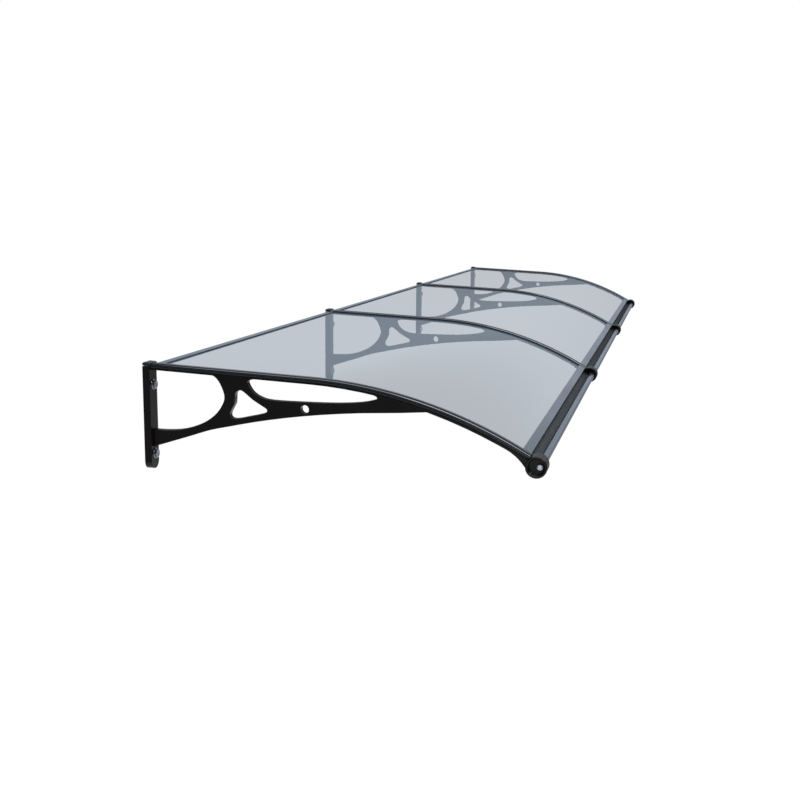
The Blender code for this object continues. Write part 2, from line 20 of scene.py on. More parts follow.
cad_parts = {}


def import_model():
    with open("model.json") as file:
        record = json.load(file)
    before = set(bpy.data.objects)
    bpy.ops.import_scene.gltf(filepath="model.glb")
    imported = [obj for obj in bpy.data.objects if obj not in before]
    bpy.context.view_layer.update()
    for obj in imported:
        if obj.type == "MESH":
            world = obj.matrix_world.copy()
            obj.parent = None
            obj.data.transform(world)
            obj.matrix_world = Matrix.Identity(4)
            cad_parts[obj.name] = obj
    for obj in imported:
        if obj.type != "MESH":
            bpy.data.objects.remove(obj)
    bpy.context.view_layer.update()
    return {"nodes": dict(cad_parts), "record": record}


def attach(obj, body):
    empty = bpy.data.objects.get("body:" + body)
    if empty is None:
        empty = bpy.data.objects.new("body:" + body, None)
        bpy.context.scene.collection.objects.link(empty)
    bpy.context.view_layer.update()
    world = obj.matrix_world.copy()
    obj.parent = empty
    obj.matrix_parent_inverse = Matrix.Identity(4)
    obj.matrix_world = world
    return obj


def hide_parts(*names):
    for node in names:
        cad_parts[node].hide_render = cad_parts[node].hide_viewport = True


Pair = tuple[float, float]
Triple = tuple[float, float, float]

LOG = logging.getLogger("canopy")
BODY = "root"
MM = 0.001
# clearance between pieces that lie on each other, and the reach within which vertices are merged
GAP = 0.0003
WELD = 1e-6
X_AXIS = Vector((1.0, 0.0, 0.0))


class Slot(Enum):
    """The record's material slots."""

    CASTING = "black_casting"
    STRIP = "black_strip"
    PLASTIC = "black_plastic"
    RUBBER = "black_rubber"
    SHEET = "clear_sheet"
    RAIL = "rail"
    ZINC = "zinc_steel"


def linear(code: str) -> tuple[float, float, float, float]:
    """Linear colour of an sRGB hex value.

    Args:
        code: Six hex digits after a hash.

    Returns:
        Red, green, blue and an alpha of one.
    """
    parts = [int(code[i:i + 2], 16) / 255 for i in (1, 3, 5)]
    return (*[c / 12.92 if c <= 0.04045 else ((c + 0.055) / 1.055) ** 2.4 for c in parts], 1.0)


def add_node(tree: NodeTree, kind: str, settings: dict | None = None, inputs: dict | None = None) -> Node:
    """Add one node with its settings and links.

    Args:
        tree: The node tree it goes into.
        kind: The node's type name.
        settings: Values of the node's own properties.
        inputs: Socket names or numbers, each with a value or with an output socket to link.

    Returns:
        The new node.
    """
    node = tree.nodes.new(kind)
    for name, value in (settings or {}).items():
        setattr(node, name, value)
    for name, value in (inputs or {}).items():
        if isinstance(value, NodeSocket):
            tree.links.new(value, node.inputs[name])
        else:
            node.inputs[name].default_value = value
    return node


def object_pattern(tree: NodeTree, size_mm: Triple, detail: float = 2.0) -> NodeSocket:
    """Noise on Object coordinates whose features have a real size.

    Args:
        tree: The node tree it goes into.
        size_mm: Size of the features along X, Y and Z, in millimetres.
        detail: Octaves of finer noise.

    Returns:
        The noise's factor.
    """
    place = add_node(tree, "ShaderNodeTexCoord")
    scale = tuple(1.0 / (size * MM) for size in size_mm)
    mapping = add_node(tree, "ShaderNodeMapping", inputs={"Vector": place.outputs["Object"], "Scale": scale})
    noise = add_node(tree, "ShaderNodeTexNoise", inputs={
        "Vector": mapping.outputs["Vector"], "Scale": 1.0, "Detail": detail, "Roughness": 0.55})
    return noise.outputs["Fac"]


def spread(tree: NodeTree, value: NodeSocket, low: float, high: float) -> NodeSocket:
    """Map the middle of a noise to a range from low to high."""
    node = add_node(tree, "ShaderNodeMapRange", inputs={
        "Value": value, "From Min": 0.3, "From Max": 0.7, "To Min": low, "To Max": high})
    return node.outputs["Result"]


def tint(tree: NodeTree, value: NodeSocket, first: str, second: str) -> NodeSocket:
    """Blend between two hex colours by a pattern. The Mix node's colours are inputs 6 and 7 and output 2."""
    node = add_node(tree, "ShaderNodeMix", {"data_type": "RGBA"}, {0: value, 6: linear(first), 7: linear(second)})
    return node.outputs[2]


def relief(tree: NodeTree, value: NodeSocket, depth_mm: float) -> NodeSocket:
    """Bump of a real depth."""
    node = add_node(tree, "ShaderNodeBump", inputs={"Height": value, "Distance": depth_mm * MM, "Strength": 1.0})
    return node.outputs["Normal"]


def principled(tree: NodeTree, inputs: dict) -> NodeSocket:
    """Add a principled shader."""
    return add_node(tree, "ShaderNodeBsdfPrincipled", inputs=inputs).outputs[0]


def blend(tree: NodeTree, share: NodeSocket | float, first: NodeSocket, second: NodeSocket) -> NodeSocket:
    """Mix two shaders, with a share of the second."""
    return add_node(tree, "ShaderNodeMixShader", inputs={0: share, 1: first, 2: second}).outputs[0]


def clear_backs(tree: NodeTree, front: NodeSocket) -> NodeSocket:
    """Keep a shader on the faces' front sides and leave their backs clear."""
    side = add_node(tree, "ShaderNodeNewGeometry")
    clear = add_node(tree, "ShaderNodeBsdfTransparent")
    return blend(tree, side.outputs["Backfacing"], front, clear.outputs[0])


def seen_rays(tree: NodeTree, *kinds: str) -> NodeSocket:
    """One for rays of any of the kinds that Light Path tells apart, and zero for others."""
    path = add_node(tree, "ShaderNodeLightPath")
    found = path.outputs[kinds[0]]
    for kind in kinds[1:]:
        either = add_node(tree, "ShaderNodeMath", {"operation": "MAXIMUM"}, {0: found, 1: path.outputs[kind]})
        found = either.outputs[0]
    return found


@dataclass(frozen=True)
class Finish:
    """A finish, which draws its shader and makes its material."""

    name: str

    def surface(self, tree: NodeTree) -> NodeSocket:
        """Draw the shader.

        Args:
            tree: The material's empty node tree.

        Returns:
            The shader's output.
        """
        raise NotImplementedError

    def make(self) -> Material:
        """Build the material."""
        material = bpy.data.materials.new(self.name)
        material.use_nodes = True
        tree = material.node_tree
        tree.nodes.clear()
        add_node(tree, "ShaderNodeOutputMaterial", inputs={"Surface": self.surface(tree)})
        return material


@dataclass(frozen=True)
class CoatedMetal(Finish):
    """Paint or powder coat on metal: a dark, even skin with orange peel."""

    deep: str
    worn: str
    roughness: Pair
    peel_mm: float
    peel_depth_mm: float
    specular: float
    cloud_mm: float = 60.0

    def surface(self, tree: NodeTree) -> NodeSocket:
        """Draw the shader."""
        cloud = object_pattern(tree, (self.cloud_mm,) * 3)
        peel = object_pattern(tree, (self.peel_mm,) * 3)
        return principled(tree, {
            "Base Color": tint(tree, cloud, self.deep, self.worn),
            "Roughness": spread(tree, cloud, *self.roughness),
            "Specular IOR Level": self.specular,
            "Normal": relief(tree, peel, self.peel_depth_mm),
        })


@dataclass(frozen=True)
class PatternedMetal(Finish):
    """Metal whose colour and gloss drift by one pattern, and whose skin can have a relief by another."""

    colour: str
    darker: str
    roughness: Pair
    cloud_mm: Triple
    relief_mm: Triple | None = None
    relief_depth_mm: float = 0.0
    metallic: float = 1.0
    detail: float = 2.0

    def surface(self, tree: NodeTree) -> NodeSocket:
        """Draw the shader."""
        cloud = object_pattern(tree, self.cloud_mm, self.detail)
        inputs = {
            "Base Color": tint(tree, cloud, self.colour, self.darker),
            "Metallic": self.metallic,
            "Roughness": spread(tree, cloud, *self.roughness),
        }
        if self.relief_mm:
            skin = object_pattern(tree, self.relief_mm, self.detail)
            inputs["Normal"] = relief(tree, skin, self.relief_depth_mm)
        return principled(tree, inputs)


@dataclass(frozen=True)
class GlossCoatedStrip(PatternedMetal):
    """Smooth black coat over an extrusion: dark and mirror-like, with the faint lines that run along it."""

    name: str = "smooth_black_coat_on_extrusion"
    colour: str = "#4E5155"
    darker: str = "#45474C"
    roughness: Pair = (0.09, 0.14)
    cloud_mm: Triple = (90.0, 90.0, 90.0)
    relief_mm: Triple = (0.7, 900.0, 900.0)
    relief_depth_mm: float = 0.002


@dataclass(frozen=True)
class AnodisedExtrusion(PatternedMetal):
    """Extruded and anodised aluminium: satin metal with fine die lines along it."""

    name: str = "anodised_aluminium_extrusion"
    colour: str = "#A0A6AE"
    darker: str = "#8D949D"
    roughness: Pair = (0.17, 0.25)
    cloud_mm: Triple = (160.0, 30.0, 30.0)
    relief_mm: Triple = (1200.0, 0.9, 0.9)
    relief_depth_mm: float = 0.006


@dataclass(frozen=True)
class GutterPaintedShade(PatternedMetal):
    """The gutter's inner faces: painted shade, a dark and matt metal that stands in for the shade that falls in
    the channel.
    """

    name: str = "painted_shade_gutter_inside"
    colour: str = "#292E34"
    darker: str = "#1E2328"
    roughness: Pair = (0.45, 0.60)
    cloud_mm: Triple = (1200.0, 1.4, 1.4)
    metallic: float = 0.8


@dataclass(frozen=True)
class ZincPlate(PatternedMetal):
    """Bright zinc on steel: shiny, faintly mottled, with a cold blue cast."""

    name: str = "bright_zinc_plated_steel"
    colour: str = "#C6C9CE"
    darker: str = "#8A8D94"
    roughness: Pair = (0.14, 0.26)
    cloud_mm: Triple = (2.5, 2.5, 2.5)
    relief_mm: Triple = (2.5, 2.5, 2.5)
    relief_depth_mm: float = 0.008
    detail: float = 3.0


@dataclass(frozen=True)
class MouldedBlack(Finish):
    """Moulded plastic or rubber: a matte skin with fine grain."""

    colour: str
    lighter: str
    roughness: Pair
    grain_mm: float
    grain_depth_mm: float
    cloud_mm: float = 45.0

    def surface(self, tree: NodeTree) -> NodeSocket:
        """Draw the shader."""
        cloud = object_pattern(tree, (self.cloud_mm,) * 3)
        grain = object_pattern(tree, (self.grain_mm,) * 3)
        return principled(tree, {
            "Base Color": tint(tree, cloud, self.colour, self.lighter),
            "Roughness": spread(tree, grain, *self.roughness),
            "Normal": relief(tree, grain, self.grain_depth_mm),
        })


@dataclass(frozen=True)
class ClearPolycarbonate(Finish):
    """Extruded see-through sheet: glossy, smoky blue-grey, with a slow ripple in its skin."""

    name: str = "extruded_smoky_polycarbonate"
    colour: str = "#43586A"
    warmer: str = "#505C67"
    opacity: float = 0.66
    roughness: float = 0.05
    ior: float = 1.58
    drift_mm: float = 480.0
    ripple_mm: float = 220.0
    ripple_depth_mm: float = 0.05

    def surface(self, tree: NodeTree) -> NodeSocket:
        """Draw the shader. The face on the far side of the sheet stays clear, so a look through it tints once."""
        drift = object_pattern(tree, (self.drift_mm,) * 3, 1)
        ripple = object_pattern(tree, (self.ripple_mm,) * 3, 1)
        return clear_backs(tree, principled(tree, {
            "Base Color": tint(tree, drift, self.colour, self.warmer),
            "Roughness": self.roughness,
            "IOR": self.ior,
            "Alpha": self.opacity,
            "Normal": relief(tree, ripple, self.ripple_depth_mm),
        }))


@dataclass(frozen=True)
class SawnSheetEdge(Finish):
    """The sheets' sawn side edges, which look almost black because the tint is seen lengthways."""

    name: str = "sawn_polycarbonate_edge"
    colour: str = "#101317"
    lighter: str = "#191D22"
    roughness: float = 0.55
    tooth_mm: float = 1.2

    def surface(self, tree: NodeTree) -> NodeSocket:
        """Draw the shader."""
        teeth = object_pattern(tree, (self.tooth_mm,) * 3, 1)
        return principled(tree, {
            "Base Color": tint(tree, teeth, self.colour, self.lighter), "Roughness": self.roughness})


@dataclass(frozen=True)
class PaleFloor(Finish):
    """The studio's floor: white to the eye, with a soft shadow, and open to a look from below."""

    name: str = "pale_floor"
    grey: float = 0.82
    glow: float = 1.13
    glow_share: float = 0.85

    def surface(self, tree: NodeTree) -> NodeSocket:
        """Draw the shader. Its glow is there for rays that are seen, and lights nothing."""
        seen = seen_rays(tree, "Is Camera Ray", "Is Glossy Ray", "Is Transmission Ray")
        diffuse = add_node(tree, "ShaderNodeBsdfDiffuse", inputs={"Color": (self.grey,) * 3 + (1.0,)})
        glow = add_node(tree, "ShaderNodeEmission", inputs={"Color": (1, 1, 1, 1), "Strength": self.glow})
        lit = blend(tree, self.glow_share, diffuse.outputs[0], glow.outputs[0])
        return clear_backs(tree, blend(tree, seen, diffuse.outputs[0], lit))


class Finishes:
    """One material for each slot of the record, and those of the faces that differ from their piece."""

    def __init__(self) -> None:
        """Build every material."""
        # painted shade: a dark, matt metal for the gutter's inside, in place of the shade in the channel
        self.gutter_inside = GutterPaintedShade().make()
        self.sheet_edge = SawnSheetEdge().make()
        recipes = {
            # powder coat on the cast brackets: satin brown-black with a fine orange peel
            Slot.CASTING: CoatedMetal(
                "satin_black_powder_coat", deep="#0E0A07", worn="#130E0A", roughness=(0.24, 0.34),
                peel_mm=2.2, peel_depth_mm=0.012, specular=0.21),
            # smooth coat on the pressing strips: near black, carrying one sharp light line along the dome
            Slot.STRIP: GlossCoatedStrip(),
            # moulded end caps: satin, a little greyer than the strips
            Slot.PLASTIC: MouldedBlack(
                "moulded_black_plastic", colour="#141416", lighter="#1B1B1E", roughness=(0.34, 0.46),
                grain_mm=0.8, grain_depth_mm=0.006),
            # extruded rubber: matte
            Slot.RUBBER: MouldedBlack(
                "black_epdm_rubber", colour="#161616", lighter="#1E1E1E", roughness=(0.70, 0.85),
                grain_mm=1.0, grain_depth_mm=0.010),
            # extruded sheet: smoky blue-grey, clear enough to show the far brackets' arms
            Slot.SHEET: ClearPolycarbonate(),
            # anodised rails: satin grey with fine die lines
            Slot.RAIL: AnodisedExtrusion(),
            # zinc plate on bolts, washers and screws: bright, cold, faintly mottled
            Slot.ZINC: ZincPlate(),
        }
        self.made = {slot: recipe.make() for slot, recipe in recipes.items()}

    def dress_node(self, node: Object, slot: Slot) -> None:
        """Give a CAD node its finish."""
        node.data.materials.clear()
        node.data.materials.append(self.made[slot])


@dataclass(frozen=True)
class SeatPath:
    """The bracket's curved top in side view: straight, then an arc, then straight again."""

    height: float = 0.0056
    slope: float = math.radians(2.5)
    straight: float = 0.346
    radius: float = 0.927
    sweep: float = math.radians(26.2)
    arc_steps: int = 48

    @property
    def arc_end(self) -> float:
        """Distance along the path where the arc ends."""
        return self.straight + self.radius * self.sweep

    def angle(self, along: float) -> float:
        """Slope of the path at a distance along it."""
        turn = (along - self.straight) / self.radius
        return self.slope + min(max(turn, 0.0), self.sweep)

    def ahead(self, along: float) -> Vector:
        """Unit vector along the path."""
        return Vector((0.0, -math.cos(self.angle(along)), -math.sin(self.angle(along))))

    def above(self, along: float) -> Vector:
        """Unit vector at right angles to the path, upwards."""
        return Vector((0.0, -math.sin(self.angle(along)), math.cos(self.angle(along))))

    def at(self, across: float, along: float, lift: float) -> Vector:
        """World point for a place across, along and above the path."""
        point = Vector((across, 0.0, self.height)) + self.ahead(0.0) * min(along, self.straight)
        if along > self.straight:
            point += (self.above(along) - self.above(0.0)) * self.radius
        if along > self.arc_end:
            point += self.ahead(along) * (along - self.arc_end)
        return point + self.above(along) * lift

    def run(self, bm: BMesh, start: float, end: float) -> None:
        """Drive the section that a bmesh holds along the path.

        Args:
            bm: Holds only the section's faces, standing across the path at start.
            start: Distance along the path where the section stands.
            end: Distance along the path where the piece ends.
        """
        cap = bm.faces[:]
        if start < self.straight:
            cap = push(bm, cap, self.ahead(0.0) * (min(end, self.straight) - start))
        if start < self.straight < end:
            turn = (min(end, self.arc_end) - self.straight) / self.radius
            centre = self.at(0.0, self.straight, -self.radius)
            made = bmesh.ops.spin(bm, geom=cap, cent=centre, axis=X_AXIS, angle=turn, steps=self.arc_steps,
                                  use_duplicate=False)
            drop_buried(bm, cap)
            cap = only(made["geom_last"], BMFace)
        if end > self.arc_end:
            push(bm, cap, self.ahead(end) * (end - max(start, self.arc_end)))


PATH = SeatPath()


def only(items: list, kind: type) -> list:
    """Those of a bmesh operator's items that are of one kind."""
    return [item for item in items if isinstance(item, kind)]


def push(bm: BMesh, faces: list[BMFace], move: Vector) -> list[BMFace]:
    """Extrude faces by a vector and return the moved ones."""
    made = bmesh.ops.extrude_face_region(bm, geom=faces)["geom"]
    bmesh.ops.translate(bm, verts=only(made, BMVert), vec=move)
    drop_buried(bm, faces)
    return only(made, BMFace)


def drop_buried(bm: BMesh, faces: list[BMFace]) -> None:
    """Delete those of the faces that an extrusion has left inside the solid."""
    buried = [face for face in faces if any(len(edge.link_faces) > 2 for edge in face.edges)]
    bmesh.ops.delete(bm, geom=buried, context="FACES_ONLY")


def slab(left: float, right: float, low: float, high: float, start: float) -> BMesh:
    """One rectangle that stands across the seat path, between two places along X and two heights above it."""
    bm = bmesh.new()
    corners = [(left, low), (right, low), (right, high), (left, high)]
    bm.faces.new([bm.verts.new(PATH.at(x, start, lift)) for x, lift in corners])
    return bm


def round_corners(bm: BMesh, verts: list[BMVert], radius: float, steps: int) -> None:
    """Round the corners of a flat section."""
    bmesh.ops.bevel(bm, geom=verts, offset=radius, segments=steps, profile=0.5, affect="VERTICES", material=-1)


def round_edges(bm: BMesh, edges: list[BMEdge], radius: float, steps: int) -> None:
    """Round edges of a solid."""
    bmesh.ops.bevel(bm, geom=edges, offset=radius, offset_type="OFFSET", segments=steps, profile=0.5,
                    affect="EDGES", material=-1, clamp_overlap=True)


def sharp_edges(bm: BMesh, degrees: float) -> list[BMEdge]:
    """Edges whose two faces turn by more than an angle."""
    limit = math.radians(degrees)
    return [edge for edge in bm.edges if len(edge.link_faces) == 2 and edge.calc_face_angle() > limit]


def new_mesh(bm: BMesh, name: str) -> Mesh:
    """Turn a bmesh into a mesh, and free it."""
    mesh = bpy.data.meshes.new(name)
    bm.to_mesh(mesh)
    bm.free()
    return mesh


def new_object(name: str, data: ID) -> Object:
    """Add an object to the scene."""
    made = bpy.data.objects.new(name, data)
    bpy.context.scene.collection.objects.link(made)
    return made


def to_piece(bm: BMesh, name: str, finishes: Finishes, slot: Slot, stands_for: list[str],
             crease: float = 40.0) -> Object:
    """Turn a bmesh into a finished piece that rides on the canopy.

    Args:
        bm: The piece's shape, in place. It is freed.
        name: The piece's name.
        finishes: All the materials.
        slot: The record's slot that gives the piece its finish.
        stands_for: CAD nodes that it stands for.
        crease: Edges that turn more than this angle, in degrees, stay sharp.

    Returns:
        The new object, at the origin.
    """
    bmesh.ops.remove_doubles(bm, verts=bm.verts, dist=WELD)
    bmesh.ops.recalc_face_normals(bm, faces=bm.faces)
    mesh = new_mesh(bm, name)
    mesh.shade_smooth()
    mesh.set_sharp_from_angle(angle=math.radians(crease))
    mesh.materials.append(finishes.made[slot])
    piece = new_object(name, mesh)
    flat = piece.modifiers.new("flat_faces_stay_flat", "WEIGHTED_NORMAL")
    flat.mode = "FACE_AREA"
    flat.keep_sharp = True
    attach(piece, BODY)
    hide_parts(*stands_for)
    LOG.info("%s: %d faces", name, len(mesh.polygons))
    return piece


def refinish(piece: Object, material: Material, chosen: Callable[[MeshPolygon], bool]) -> None:
    """Give another finish to those faces of a piece that are chosen."""
    piece.data.materials.append(material)
    for face in piece.data.polygons:
        face.material_index = int(chosen(face))


def turned(profile: list[Pair], steps: int) -> BMesh:
    """Turn a profile about the X axis.

    Args:
        profile: Places along X, each with its radius. It is closed where it starts off the axis.
        steps: Steps of the full turn.

    Returns:
        The closed body.
    """
    bm = bmesh.new()
    verts = [bm.verts.new((x, 0.0, radius)) for x, radius in profile]
    edges = [bm.edges.new(pair) for pair in zip(verts, verts[1:])]
    if profile[0][1] > 0:
        edges.append(bm.edges.new((verts[-1], verts[0])))
    bmesh.ops.spin(bm, geom=verts + edges, cent=(0, 0, 0), axis=X_AXIS, angle=2 * math.pi, steps=steps,
                   use_merge=True)
    bmesh.ops.remove_doubles(bm, verts=bm.verts, dist=WELD)
    bmesh.ops.recalc_face_normals(bm, faces=bm.faces)
    return bm


def carved(body: BMesh, cutter: BMesh) -> BMesh:
    """Cut one bmesh out of another with an exact Boolean, and free both."""
    items = []
    for shape in (body, cutter):
        bmesh.ops.recalc_face_normals(shape, faces=shape.faces)
        items.append(new_object("carving", new_mesh(shape, "carving")))
    cut = items[0].modifiers.new("cut", "BOOLEAN")
    cut.operation, cut.solver, cut.object = "DIFFERENCE", "EXACT", items[1]
    result = bmesh.new()
    result.from_object(items[0], bpy.context.evaluated_depsgraph_get())
    for item in items:
        bpy.data.objects.remove(item)
    return result


@dataclass(frozen=True)
class Layout:
    """How the canopy is divided along the wall, and the sizes that its pieces share."""

    bays: int = 3
    pitch: float = 1.200
    plate_width: float = 0.032
    hub_length: float = 0.037
    # from the end of the seat's arc to the hubs' axis
    hub_lead: float = 0.0515
    strip_width: float = 0.026

    @property
    def centres(self) -> list[float]:
        """The brackets' places along X."""
        return [(index - self.bays / 2) * self.pitch for index in range(self.bays + 1)]

    def bay_ends(self, index: int, half_width: float) -> Pair:
        """Ends of what fits between two brackets.

        Args:
            index: Number of the bay, from zero.
            half_width: Half the width of what stands at each end.

        Returns:
            Left and right end along X.
        """
        left, right = self.centres[index:index + 2]
        return left + half_width + GAP, right - half_width - GAP


@dataclass(frozen=True)
class Stack:
    """Heights above the seat line of what lies on a bracket."""

    gasket: float = 0.0005
    sheet: float = 0.003

    @property
    def sheet_under(self) -> float:
        """Underside of the sheet."""
        return GAP + self.gasket + GAP

    @property
    def sheet_top(self) -> float:
        """Top of the sheet."""
        return self.sheet_under + self.sheet

    @property
    def strip_under(self) -> float:
        """Underside of the strip and of the rails' lips."""
        return self.sheet_top + GAP + self.gasket + GAP


@dataclass
class Brackets:
    """The cast brackets, with every outer edge broken as a casting has it."""

    layout: Layout
    finishes: Finishes
    weld: float = 2e-6
    flat_angle: float = math.radians(0.6)
    edge_degrees: float = 38.0
    edge_radius: float = 0.0009
    edge_steps: int = 2

    def build(self, nodes: dict[str, Object]) -> None:
        """Make the castings from merged copies of the solids."""
        for number in range(1, self.layout.bays + 2):
            node = f"bracket_{number}"
            bm = bmesh.new()
            bm.from_mesh(nodes[node].data)
            bmesh.ops.remove_doubles(bm, verts=bm.verts, dist=self.weld)
            bmesh.ops.dissolve_limit(bm, angle_limit=self.flat_angle, verts=bm.verts, edges=bm.edges)
            round_edges(bm, sharp_edges(bm, self.edge_degrees), self.edge_radius, self.edge_steps)
            to_piece(bm, f"cast_bracket_{number}", self.finishes, Slot.CASTING, [node], crease=50)


@dataclass
class ClearSheets:
    """The arched sheets, with their cut edges broken."""

    layout: Layout
    stack: Stack
    finishes: Finishes
    joint: float = 0.004
    start: float = 0.016
    lead_end: float = 0.0219
    edge_degrees: float = 60.0
    edge_radius: float = 0.0004
    edge_steps: int = 2
    side_normal: float = 0.3

    def build(self) -> None:
        """Make the sheets. Their side edges have a finish of their own."""
        overhang = self.layout.strip_width / 2
        for index in range(self.layout.bays):
            number = index + 1
            left, right = self.layout.centres[index:index + 2]
            left += -overhang if index == 0 else self.joint / 2
            right += overhang if number == self.layout.bays else -self.joint / 2
            bm = slab(left, right, self.stack.sheet_under, self.stack.sheet_top, self.start)
            PATH.run(bm, self.start, PATH.arc_end + self.lead_end)
            round_edges(bm, sharp_edges(bm, self.edge_degrees), self.edge_radius, self.edge_steps)
            sheet = to_piece(bm, f"arched_sheet_{number}", self.finishes, Slot.SHEET,
                             [f"roof_sheet_{number}"], crease=20)
            refinish(sheet, self.finishes.sheet_edge, lambda face: abs(face.normal.x) > self.side_normal)


@dataclass
class PressingStrips:
    """The domed strips over the brackets, and the thin gaskets above and below the sheets."""

    layout: Layout
    stack: Stack
    finishes: Finishes
    side: float = 0.0034
    crown: float = 0.0048
    dome_steps: int = 10
    shoulder: float = 0.0024
    shoulder_steps: int = 4
    start: float = 0.0026
    lead_end: float = 0.0259
    gasket_width: float = 0.022
    gasket_start: float = 0.016
    gasket_lead_end: float = 0.0219

    def strip(self, x: float) -> BMesh:
        """One strip, with its dome and rounded shoulders."""
        bm = bmesh.new()
        half = self.layout.strip_width / 2
        under = self.stack.strip_under
        rise = self.crown - self.side
        radius = (half ** 2 + rise ** 2) / (2 * rise)
        reach = math.asin(half / radius)
        foot = [bm.verts.new(PATH.at(x + across, self.start, under)) for across in (-half, half)]
        first = bm.verts.new(PATH.at(x + half, self.start, under + self.side))
        centre = PATH.at(x, self.start, under + self.crown - radius)
        arc = bmesh.ops.spin(bm, geom=[first], cent=centre, axis=PATH.ahead(0.0), angle=2 * reach,
                             steps=self.dome_steps)
        last = only(arc["geom_last"], BMVert)[0]
        for pair in ((last, foot[0]), (foot[0], foot[1]), (foot[1], first)):
            bm.edges.new(pair)
        bmesh.ops.contextual_create(bm, geom=bm.edges[:])
        round_corners(bm, [first, last], self.shoulder, self.shoulder_steps)
        PATH.run(bm, self.start, PATH.arc_end + self.lead_end)
        return bm

    def gasket(self, x: float, under: float) -> BMesh:
        """One thin rubber strip under or over a sheet's edge."""
        half = self.gasket_width / 2
        bm = slab(x - half, x + half, under, under + self.stack.gasket, self.gasket_start)
        PATH.run(bm, self.gasket_start, PATH.arc_end + self.gasket_lead_end)
        return bm

    def build(self) -> None:
        """Make the strips and gaskets."""
        for number, x in enumerate(self.layout.centres, start=1):
            to_piece(self.strip(x), f"domed_strip_{number}", self.finishes, Slot.STRIP,
                     [f"pressing_strip_{number}"], crease=50)
            for side, under in (("lower", GAP), ("upper", self.stack.sheet_top + GAP)):
                to_piece(self.gasket(x, under), f"{side}_rubber_{number}", self.finishes, Slot.RUBBER,
                         [f"{side}_gasket_{number}"])


@dataclass
class EndCaps:
    """The moulded caps over the strips' wall ends: hollow blocks with soft edges."""

    layout: Layout
    stack: Stack
    finishes: Finishes
    width: float = 0.032
    length: float = 0.016
    rear_wall: float = 0.002
    wall: float = 0.0027
    height: float = 0.0064
    pocket_height: float = 0.0051
    pocket_run: float = 0.040
    edge_degrees: float = 60.0
    rounding: float = 0.0028
    rounding_steps: int = 5
    slack: float = 1e-5

    def block(self, x: float, half: float, heights: Pair, ends: Pair) -> BMesh:
        """A plain block on the strip's line.

        Args:
            x: The bracket's place.
            half: Half the block's width.
            heights: Its underside and top, above the strip's underside.
            ends: Its ends along the seat line.

        Returns:
            The closed block.
        """
        low, high = (self.stack.strip_under + lift for lift in heights)
        bm = slab(x - half, x + half, low, high, ends[0])
        push(bm, bm.faces[:], PATH.ahead(0.0) * (ends[1] - ends[0]))
        bmesh.ops.recalc_face_normals(bm, faces=bm.faces)
        return bm

    def cap(self, x: float) -> BMesh:
        """One cap, rounded above, with its pocket open below and in front."""
        half = self.width / 2
        outer = self.block(x, half, (0.0, self.height), (0.0, self.length))
        outer.normal_update()
        foot, up = PATH.at(0.0, 0.0, 0.0), PATH.above(0.0)
        top = self.stack.strip_under + self.height - self.slack
        soft = [edge for edge in sharp_edges(outer, self.edge_degrees)
                if all((vert.co - foot).dot(up) > top for vert in edge.verts)]
        round_edges(outer, soft, self.rounding, self.rounding_steps)
        pocket = self.block(x, half - self.wall, (-self.height, self.pocket_height),
                            (self.rear_wall, self.pocket_run))
        return carved(outer, pocket)

    def build(self) -> None:
        """Make the caps."""
        for number, x in enumerate(self.layout.centres, start=1):
            to_piece(self.cap(x), f"moulded_end_cap_{number}", self.finishes, Slot.PLASTIC,
                     [f"strip_end_cap_{number}"], crease=35)


